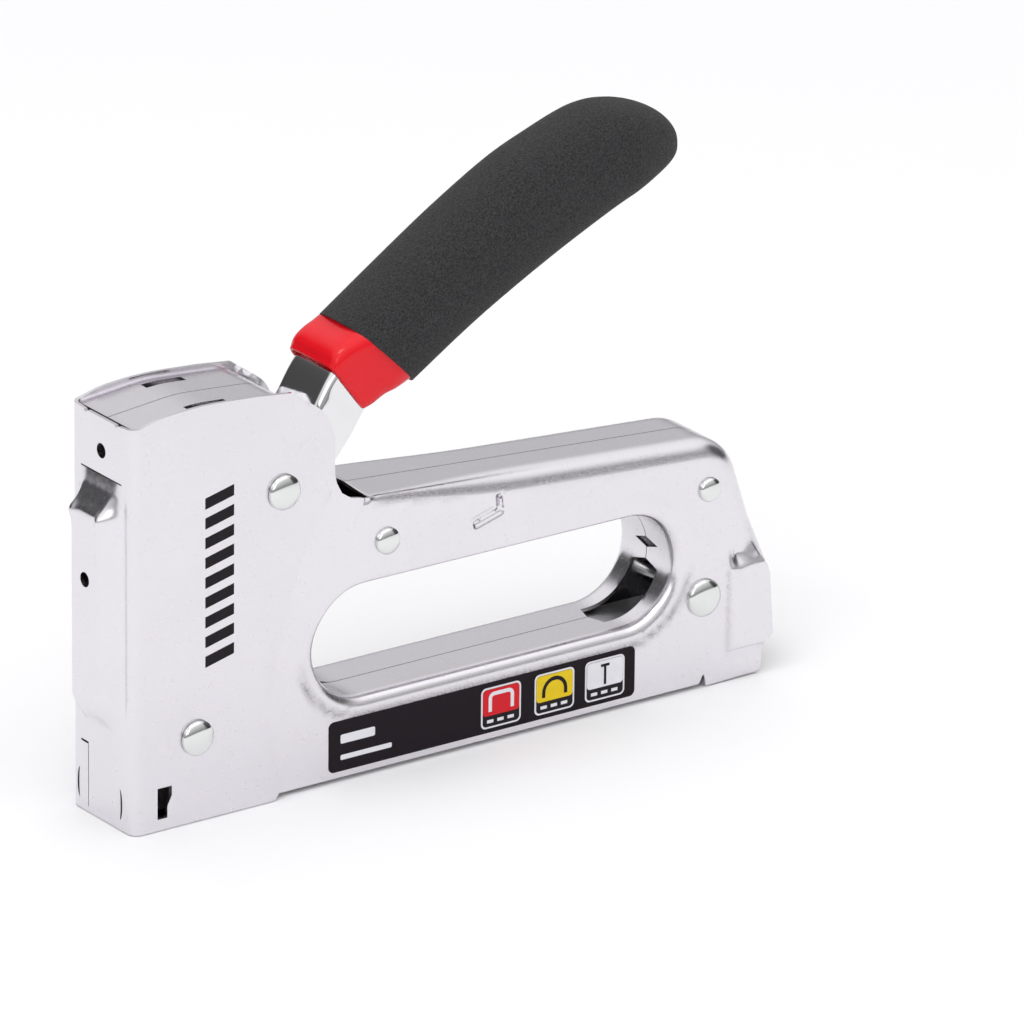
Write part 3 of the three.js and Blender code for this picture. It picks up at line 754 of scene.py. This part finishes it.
def folded(flat):
    """Points of the flat cover folded round the nose."""
    s, z = flat[:, 0], flat[:, 1]
    side = np.sign(s)
    beyond = np.abs(s)
    turn = np.clip((beyond - FLAT_HALF) / FRONT_BEND, 0, math.pi / 2)
    y = side * (np.minimum(beyond, FLAT_HALF) + FRONT_BEND * np.sin(turn))
    x = FRONT_BEND * (1 - np.cos(turn)) + np.maximum(0, beyond - SIDE_START)
    x = x - boss_relief(y, z) * (beyond < FLAT_HALF)
    rivet_dish = np.zeros(len(s))
    for rivet_x, rivet_z in (PIVOT, NOSE_RIVET):
        away = np.hypot(x - rivet_x, z - rivet_z)
        rivet_dish += 0.12 * np.exp(-((away / 5.2) ** 4))
    edge_x, edge_z = np.transpose(REAR_EDGE)
    roll = 0.16 * ramp(np.interp(z, edge_z, edge_x) - x, 1.0, 0.0) * (z < edge_z[-1])
    y = y - side * (rivet_dish + roll) * (beyond > SIDE_START)
    return np.stack([x, y, z], axis=1)


def cover_holes():
    """The cuts on the flat sheet: round holes, side windows, lanced crescents beside the foot, the
    butt seam with its cross cut, and the slit above the boss."""
    holes = [circle(0, z, 1.6) for z in (80.5, 53.5)]
    window = np.array([(5.9, 2.5), (8.3, 2.5), (8.3, 5), (9.4, 7.2), (9.4, 9.3), (5.9, 9.3)])
    for side in (-1, 1):
        flat = np.stack([side * unrolled(window[:, 0]), window[:, 1]], axis=1)
        holes.append(flat if side > 0 else flat[::-1])
    for place, side in ((-8.2, -1), (6.4, 1)):
        crescent = []
        for bulge, angles in ((0.95, CRESCENT_ANGLES), (0.3, CRESCENT_ANGLES[::-1])):
            across = place + side * bulge * np.sin(angles)
            crescent.append(np.stack([across, 5.6 + 3.4 * np.cos(angles)], axis=1))
        crescent = np.vstack(crescent)
        holes.append(crescent if side < 0 else crescent[::-1])
    holes.append(ribbon([(-5.1, 1.2), (-5.1, 14.9)], 0.1))
    holes.append(rectangle(-7.8, 15.0, -4.9, 15.5, 0.1))
    holes.append(ribbon([(-7.4, 75.35), (7.4, 75.35)], 0.14))
    return [divided(hole, 0.7) for hole in holes]


def build_cover():
    outline = cover_outline()
    fine = [(-FLAT_HALF - BEND_LENGTH, 0, FLAT_HALF + BEND_LENGTH, 90, 0.55)]
    flat, faces, _ = triangulated(outline, cover_holes(), PANEL_GRID, fine)
    # Seen from outside, the sheet's distance across runs the other way round.
    points = folded(flat * (-1, 1))
    obj = sheet_metal(new_object("cover_sheet", points, faces), SHEET, COVER_BEVEL)
    piece(obj, COVER_STEEL, "frame", "plated_steel", "nose_cover")


# ---- Rivets ----
RIVET_SIDES = 56
RIVET_SHANK = 2.0
RIVET_RIM = 0.12  # round the underside of a head
RIVET_BAND = 0.35  # from the seat to where the dome begins
RIVETS = {  # its place, the head's radius and height, and the Y it sits on
    "handle_pivot_rivet": (PIVOT, 3.8, 1.8, COVER_HALF),
    "nose_rivet": (NOSE_RIVET, 3.8, 1.8, COVER_HALF),
    "arm_front_rivet": ((63.1, 50.7), 2.9, 1.5, SHELL_HALF),
    "arm_rear_rivet": ((144.9, 44.3), 2.65, 1.4, SHELL_HALF),
    "heel_rivet": ((143.8, 20.3), 4.15, 1.8, SHELL_HALF),
}


def turned(profile, x, z):
    """A profile of (radius, y) turned about the Y axis through (x, z)."""
    rings = []
    for radius, y in profile:
        flat = circle(x, z, max(radius, 1e-3), RIVET_SIDES)
        rings.append(np.stack([flat[:, 0], np.full(RIVET_SIDES, y), flat[:, 1]], axis=1))
    return loft(rings)


def build_rivets():
    for name, ((x, z), head, rise, seat) in RIVETS.items():
        under = seat + 0.02
        dome = []
        for t in np.linspace(0, math.pi / 2, 13):
            height = RIVET_BAND + (rise - RIVET_BAND) * math.sin(t)
            dome.append((head * math.cos(t), under + height))
        rim = [(head - RIVET_RIM, under), (head, under + RIVET_RIM)]
        upper = [(RIVET_SHANK, under), *rim, *dome]
        lower = [(radius, -y) for radius, y in reversed(upper)]
        points, faces = turned([*lower, *upper], x, z)
        obj = new_object(f"{name}_head", points, [face[::-1] for face in faces])
        piece(applied(obj, 35), DOME_STEEL, "frame", "bright_steel", name)


# ---- Handle ----
LEVER_HALF = 7.6
LEVER_SHEET = 1.2
WEB_BEND = 1.7
GRIP_TOP = [(56.8, 97.1), (73.3, 108.2), (84.9, 115.7), (97.8, 123.1), (107.4, 127.1),
            (118.7, 130.7), (127.5, 130.6), (135, 128), (139.3, 124), (140.4, 120.2)]
GRIP_BELOW = [(72.7, 81.7), (85.1, 89.5), (95.2, 95.2), (108.7, 102.1), (122.2, 108.5),
              (131.5, 112.5), (138.0, 115.6), (140.0, 117.6), (140.4, 120.2)]
GRIP_HALF = 10.7
GRIP_FULL = 10.2  # half height from which the grip has its full width
GRIP_BORE = 0.8  # the hollow of the foam, as a share of its mouth
TIP_CROWDING = 0.55  # how much the grip's rings crowd towards its tip
SLEEVE_TOP = [(50.9, 90.5), (51.8, 92.4), (53.9, 94.2), (57.2, 96.0), (64, 100.2), (72, 105)]
SLEEVE_BELOW = [(59.5, 79.1), (61.6, 79.7), (64.6, 80.9), (68.2, 81.6), (72.4, 83.4), (80, 88.9)]
SLEEVE_HALF = 8.45
UP_HANDLE = np.array([0.82, 0.0, 0.57])


def section(top, low, half, power=2.5, count=72):
    """A rounded box section between a top and a bottom point."""
    middle = (top + low) / 2
    rise = (top - low) / 2
    angle = np.arange(count) * 2 * math.pi / count
    c, s = np.cos(angle), np.sin(angle)
    wide = np.sign(c) * np.abs(c) ** (2 / power)
    tall = np.sign(s) * np.abs(s) ** (2 / power)
    return np.stack([middle[0] + rise[0] * tall, half * wide, middle[1] + rise[1] * tall], axis=1)


def drawn_in(ring, by, along):
    """A section's ring drawn in by a distance all round, and moved along the handle."""
    from_middle = ring - ring.mean(axis=0)
    outward = from_middle / np.linalg.norm(from_middle, axis=1, keepdims=True)
    return ring - outward * by + UP_HANDLE * along


def build_grip():
    """The foam, from its hollow out round the edge of its mouth and up to the closed tip."""
    count = 96
    top = resampled(smooth(GRIP_TOP), count, TIP_CROWDING)
    low = resampled(smooth(GRIP_BELOW), count, TIP_CROWDING)
    low[-1] = top[-1]
    mouth = section(top[0], low[0], GRIP_HALF)
    middle = mouth.mean(axis=0)
    rings = [middle + (mouth - middle) * GRIP_BORE + UP_HANDLE * deep for deep in (20, 0.2)]
    rings += [drawn_in(mouth, by, along) for by, along in ((0.55, -0.12), (0.22, -0.03))]
    for above, below in zip(top[:-1], low[:-1]):
        fullness = min(1, np.linalg.norm(above - below) / 2 / GRIP_FULL)
        rings.append(section(above, below, GRIP_HALF * fullness ** 0.8))
    points, faces = loft(rings)
    obj = applied(new_object("foam_grip", points, [face[::-1] for face in faces]), 60)
    piece(obj, FOAM, "handle", "black_foam", "handle_grip")


def build_sleeve():
    """The vinyl, nearly square where it clings to the lever, rounder and wider under the foam."""
    count = 48
    top = resampled(smooth(SLEEVE_TOP), count)
    low = resampled(smooth(SLEEVE_BELOW), count)
    rings = []
    for k, along in enumerate(np.linspace(0, 1, count)):
        widened = SLEEVE_HALF + 1.45 * float(ramp(along, 0.08, 0.5))
        waves = 0.2 * math.sin(along * 16) * (1 - along)
        squareness = 7 - 3.6 * float(ramp(along, 0.02, 0.5))
        rings.append(section(top[k], low[k], widened + waves, squareness))
    edge = rings[0]
    for by, along in ((0.12, -0.3), (0.4, -0.5), (0.8, -0.45), (1.0, 0.4)):
        rings.insert(0, drawn_in(edge, by, along))
    points, faces = loft(rings, closed_start=False)
    obj = new_object("vinyl_sleeve", points, [face[::-1] for face in faces])
    piece(applied(obj, 70), VINYL, "handle", "red_vinyl", "handle_sleeve")


def lever_outline():
    """The lever's side view, from its prong round the knuckle to inside the vinyl."""
    prong = [(8.7, 56.3), (32, 60.5), (38, 60.8)]
    below = [(44, 63.2), (51, 69), (54.4, 72.8), (59.0, 79.2), (64.9, 83.6), (72, 88.5)]
    tip = [(86, 98), (81, 107)]
    above = [(56.5, 91.7), (52.6, 89.2), (49.8, 85.9), (46.6, 80.7), (43.2, 76.0), (40, 73.9)]
    knuckle = [(33.4, 71.6), (25, 65), (12, 60.3), (6.7, 60.3), (4.7, 58.3)]
    return divided(np.array([*prong, *smooth(below, 3), *tip, *smooth(above, 3), *knuckle]), 1.1)


def lever_rim(ring):
    """The web joins the sides along the upper edge only."""
    x, z = ring[:, 0], ring[:, 1]
    web = (x > 38) & (z > 73.5) & (z > 1.05 * x + 30)
    radius = np.where(web, WEB_BEND, 0.0)
    end = np.where(web, 0.0, -LEVER_HALF)
    return radius, end


def build_lever():
    def relief(points):
        return 0.25 * bell(points[:, 0] + points[:, 1], 132, 3)

    left = tray(lever_outline(), [], LEVER_HALF, lever_rim, None, 1.2, relief)
    obj = new_object("lever_channel", *joined(left, mirrored(*left)))
    sheet_metal(obj, LEVER_SHEET, 0.2)
    piece(obj, CHROME, "handle", "bright_steel", "handle_lever")


# ---- Label and marks ----
PRINT_LAYER = 0.035  # from one layer of print to the next
ICON_WIDTH = 10.1
ICONS = (("red", 86.9), ("yellow", 100.5), ("white", 113.4))  # a colour and where the icon starts
LABEL = (48.7, 2.3, 126.2, 13.5)


def ink(name, outlines, y, color):
    mesh = joined(*[plate(outline, y, 0.03) for outline in outlines])
    obj = new_object(name, *mesh)
    piece(applied(obj, 30), PRINTS[color], "frame", "printed_film")


def staple(x, z, wide, tall, half, round_top):
    """A staple seen from the front, as a band; its crown is round or flat."""
    radius = wide * (0.5 if round_top else 0.18)
    turns = np.linspace(0, math.pi / 2, 7)
    arc = []
    for side, order in ((-1, turns), (1, turns[::-1])):
        across = x + side * (wide / 2 - radius + radius * np.cos(order))
        height = z + tall - radius + radius * np.sin(order)
        arc += list(zip(across, height))
    return ribbon([(x - wide / 2, z), *arc, (x + wide / 2, z)], half)


def nail(x):
    return [rectangle(x - 0.3, 6.6, x + 0.3, 10.6), rectangle(x - 1.1, 10.6, x + 1.1, 11.2)]


def build_icon(color, x0, face):
    """A framed sign for a fastener: a coloured field over a dark band with three ticks."""
    x1 = x0 + ICON_WIDTH
    middle = (x0 + x1) / 2
    name = f"icon_{color}"
    layers = [face - k * PRINT_LAYER for k in range(5)]
    ink(f"{name}_border", [rectangle(x0, 3.3, x1, 12.4, 1.2)], layers[1], "white")
    ink(f"{name}_band", [rectangle(x0 + 0.4, 3.7, x1 - 0.4, 12.0, 0.9)], layers[2], "ink")
    ink(f"{name}_field", [rectangle(x0 + 0.45, 6.1, x1 - 0.45, 11.95, 0.8)], layers[3], color)
    if color == "white":
        ink(f"{name}_nail", nail(middle), layers[4], "ink")
    else:
        is_round = color == "yellow"
        mark = staple(middle, 7.0, 5.6, 3.9, 0.42, is_round)
        ink(f"{name}_staple", [mark], layers[4], "ink" if is_round else "white")
    starts = [x0 + 1.5 + 2.6 * k for k in range(3)]
    ticks = [rectangle(start, 4.5, start + 1.6, 5.2) for start in starts]
    ink(f"{name}_ticks", ticks, layers[3], "white")


def build_label():
    face = -SHELL_HALF - 0.12
    film = rectangle(*LABEL, 1.3)
    obj = new_object("label_film", *plate(film, face, 0.1))
    bevel(obj, 0.03, 1, TURN_SHARP)
    piece(applied(obj, 30), LABEL_FILM, "frame", "printed_film", "side_label")
    for color, start in ICONS:
        build_icon(color, start, face)
    bars = [rectangle(51.6, 8.4, 60.2, 10.4, 0.4), rectangle(51.6, 4.8, 64.4, 5.9, 0.3)]
    ink("label_bars", bars, face - PRINT_LAYER, "white")


def build_cover_mark():
    """A column of slanted bars: a plain mark where such a tool carries its print."""
    bars = []
    for k in range(9):
        z = 33.2 + 4.3 * k
        bars.append(np.array([(17.6, z), (24.6, z + 1.7), (24.6, z + 4.1), (17.6, z + 2.4)]))
    ink("cover_bars", bars, -COVER_HALF - 0.03, "ink")


# ---- Springs ----
MAIN_WIRE = 0.9  # radius of the power spring's wire
THIN_WIRE = 0.3
CLOSED_TURNS = 1.5  # at each end of a spring


def coil(centre, direction, radius, wire, turns, length, per_turn, sides):
    """A coil spring's wire from one end to the other, its end turns closed up."""
    count = int(turns * per_turn)
    share = np.linspace(0, 1, count + 1)
    closed = CLOSED_TURNS / turns
    rise = 2 * wire * 1.4
    travel = np.interp(share, [0, closed, 1 - closed, 1], [0, rise, length - rise, length])
    angle = share * turns * 2 * math.pi
    direction = np.array(direction, float)
    side = np.array([0, 1.0, 0])
    other = np.cross(direction, side)
    rings = []
    for move, turn in zip(travel, angle):
        out = side * math.cos(turn) + other * math.sin(turn)
        at = np.array(centre) + direction * move + out * radius
        ring = []
        for k in range(sides):
            t = 2 * math.pi * k / sides
            ring.append(at + wire * (out * math.cos(t) + direction * math.sin(t)))
        rings.append(np.array(ring))
    return loft(rings)


def spring(name, node, body, mesh):
    """A coil of spring steel on its body, in place of its CAD node, with a mesh of its own."""
    obj = applied(new_object(name, *mesh), 60)
    piece(obj, SPRING_STEEL, body, "spring_steel", node)
    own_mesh(obj)


def build_springs():
    low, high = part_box("main_spring")
    radius = (high.y - low.y) / 2 / MM - MAIN_WIRE
    rest = (high.z - low.z) / MM
    start = ((low.x + high.x) / 2 / MM - NOSE_X, 0, low.z / MM + MAIN_WIRE)
    mesh = coil(start, (0, 0, 1), radius, MAIN_WIRE, 10.5, rest - 2 * MAIN_WIRE, 28, 10)
    spring("main_coil", "main_spring", "frame", mesh)
    low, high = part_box("pusher_spring")
    radius = (high.y - low.y) / 2 / MM - THIN_WIRE
    rest = (high.x - low.x) / MM
    start = (low.x / MM - NOSE_X + THIN_WIRE, 0, (low.z + high.z) / 2 / MM)
    mesh = coil(start, (1, 0, 0), radius, THIN_WIRE, 30, rest - 2 * THIN_WIRE, 16, 7)
    spring("pusher_coil", "pusher_spring", "rail", mesh)
    low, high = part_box("latch_spring")
    radius = (high.y - low.y) / 2 / MM - THIN_WIRE
    rest = (high.z - low.z) / MM
    start = ((low.x + high.x) / 2 / MM - NOSE_X, 0, low.z / MM + THIN_WIRE)
    mesh = coil(start, (0, 0, 1), radius, THIN_WIRE, 5, rest - 2 * THIN_WIRE, 20, 8)
    spring("latch_coil", "latch_spring", "rail", mesh)


# ---- CAD nodes kept ----
def finish_nodes():
    """The inner mechanism keeps its CAD shapes and gets materials and softened edges."""
    finishes = {
        "handle_return_spring": SPRING_STEEL,
        "striker_blade": RAW_STEEL,
        "striker_yoke": SATIN,
        "striker_bumper": RUBBER,
        "striker_guide_plate": RAW_STEEL,
        "spring_cap": DARK_STEEL,
        "magazine_channel": RAW_STEEL,
        "loading_rail": CHROME,
        "rail_end_cap": RUBBER,
        "staple_pusher": DARK_STEEL,
        "pusher_guide_rod": SPRING_STEEL,
        "rail_latch": RUBBER,
    }
    for name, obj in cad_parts.items():
        if obj.hide_render:
            continue
        material = finishes.get(name, RAW_STEEL)
        obj.data.materials.clear()
        obj.data.materials.append(material)
        if "spring" not in name or name == "spring_cap":
            bevel(obj, 0.12, 2, 40)


# ---- Stage ----
def build_floor():
    material, tree, bsdf = shader("pale_floor", (0.93, 0.93, 0.935), 0.9, Specular_IOR_Level=0.1)
    tint(tree, bsdf, noise(tree, 3, 2), (0.925, 0.925, 0.93), (0.935, 0.935, 0.94))
    mesh = bpy.data.meshes.new("floor")
    reach = 6  # metres
    corners = [(-reach, -reach, 0), (reach, -reach, 0), (reach, reach, 0), (-reach, reach, 0)]
    mesh.from_pydata(corners, [], [(0, 1, 2, 3)])
    floor = bpy.data.objects.new("floor", mesh)
    mesh.materials.append(material)
    scene.collection.objects.link(floor)
    floor.location.z = -0.0002  # just clear of the tool's foot


# Dark flags round the set, for the bright metal to reflect: direction, the cosines between which
# a flag fades out, and how dark it is.
FLAGS = [
    ((-0.62, 0.76, 0.20), 0.93, 0.80, 0.12),
    ((0.93, -0.28, 0.22), 0.95, 0.88, 0.15),
]


def flagged(tree, place, color, direction, inner, outer, dark):
    dot = tree.nodes.new("ShaderNodeVectorMath")
    dot.operation = "DOT_PRODUCT"
    dot.inputs[1].default_value = Vector(direction).normalized()
    tree.links.new(place, dot.inputs[0])
    fade = spread(tree, dot.outputs["Value"], 1, dark, outer, inner)
    scaled = tree.nodes.new("ShaderNodeVectorMath")
    scaled.operation = "SCALE"
    tree.links.new(color, scaled.inputs[0])
    tree.links.new(fade, scaled.inputs["Scale"])
    return scaled.outputs["Vector"]


def build_world():
    """A white studio: bright overhead, a greyer wall low down with a darker line at its foot."""
    world = bpy.data.worlds.new("studio")
    world.use_nodes = True
    scene.world = world
    tree = world.node_tree
    tree.nodes.clear()
    out = tree.nodes.new("ShaderNodeOutputWorld")
    lit = tree.nodes.new("ShaderNodeBackground")
    plain = tree.nodes.new("ShaderNodeBackground")
    plain.inputs["Color"].default_value = (1, 1, 1, 1)
    mix = tree.nodes.new("ShaderNodeMixShader")
    path = tree.nodes.new("ShaderNodeLightPath")
    place = tree.nodes.new("ShaderNodeTexCoord")
    split = tree.nodes.new("ShaderNodeSeparateXYZ")
    ramp_node = tree.nodes.new("ShaderNodeValToRGB")
    elements = ramp_node.color_ramp.elements
    stops = [(0.0, 0.25), (0.05, 0.3), (0.16, 0.46), (0.3, 0.63), (0.42, 0.68), (0.6, 0.98), (1.0, 1.08)]
    elements[0].position, elements[1].position = 0, 1
    for position, value in stops[1:-1]:
        elements.new(position)
    for element, (position, value) in zip(elements, stops):
        element.position = position
        element.color = (value, value, value * 1.01, 1)
    tree.links.new(place.outputs["Generated"], split.inputs["Vector"])
    tree.links.new(split.outputs["Z"], ramp_node.inputs["Fac"])
    color = ramp_node.outputs["Color"]
    for direction, inner, outer, dark in FLAGS:
        color = flagged(tree, place.outputs["Generated"], color, direction, inner, outer, dark)
    tree.links.new(color, lit.inputs["Color"])
    tree.links.new(path.outputs["Is Camera Ray"], mix.inputs["Fac"])
    tree.links.new(lit.outputs["Background"], mix.inputs[1])
    tree.links.new(plain.outputs["Background"], mix.inputs[2])
    tree.links.new(mix.outputs["Shader"], out.inputs["Surface"])


def area_light(name, place, aim, size, power):
    light = bpy.data.lights.new(name, "AREA")
    light.shape = "RECTANGLE"
    light.size, light.size_y = size
    light.energy = power
    obj = bpy.data.objects.new(name, light)
    obj.location = place
    obj.rotation_euler = (Vector(aim) - Vector(place)).to_track_quat("-Z", "Y").to_euler()
    scene.collection.objects.link(obj)


def build_lights():
    area_light("overhead_softbox", (0, -0.3, 1.6), (0, 0, 0), (2.2, 2.2), 5.5)
    area_light("overhead_strip", (-0.45, -0.25, 1.2), (0, 0, 0.08), (0.5, 0.12), 2.0)
    area_light("front_softbox", (-1.4, -1.2, 1.0), (0, 0, 0.05), (1.2, 1.0), 4.5)


CAMERA_AZIMUTH = 0.6204032  # radians, from straight in front of the near side towards the nose
CAMERA_ELEVATION = 0.3701515
CAMERA_ROLL = 0.0104234
CAMERA_PLACE = (-1.1760 + NOSE_X * MM, -1.7883, 0.8981)


def build_camera():
    """A long lens, looking down on the near side and the nose."""
    level = math.cos(CAMERA_ELEVATION)
    right = Vector((math.cos(CAMERA_AZIMUTH), -math.sin(CAMERA_AZIMUTH), 0))
    forward = (math.sin(CAMERA_AZIMUTH) * level, math.cos(CAMERA_AZIMUTH) * level)
    ahead = Vector((*forward, -math.sin(CAMERA_ELEVATION)))
    up = right.cross(ahead)
    tilted = math.cos(CAMERA_ROLL) * right + math.sin(CAMERA_ROLL) * up
    up = math.cos(CAMERA_ROLL) * up - math.sin(CAMERA_ROLL) * right
    data = bpy.data.cameras.new("camera")
    data.lens = 400
    data.sensor_width = 36
    data.clip_end = 50
    camera = bpy.data.objects.new("camera", data)
    camera.matrix_world = Matrix((tilted, up, -ahead)).transposed().to_4x4()
    camera.location = CAMERA_PLACE
    scene.collection.objects.link(camera)
    scene.camera = camera


build_shells()
build_cover()
build_rivets()
build_grip()
build_sleeve()
build_lever()
build_label()
build_cover_mark()
build_springs()
finish_nodes()
build_floor()
build_world()
build_lights()
build_camera()
scene.view_settings.view_transform = "Standard"

bpy.context.view_layer.update()
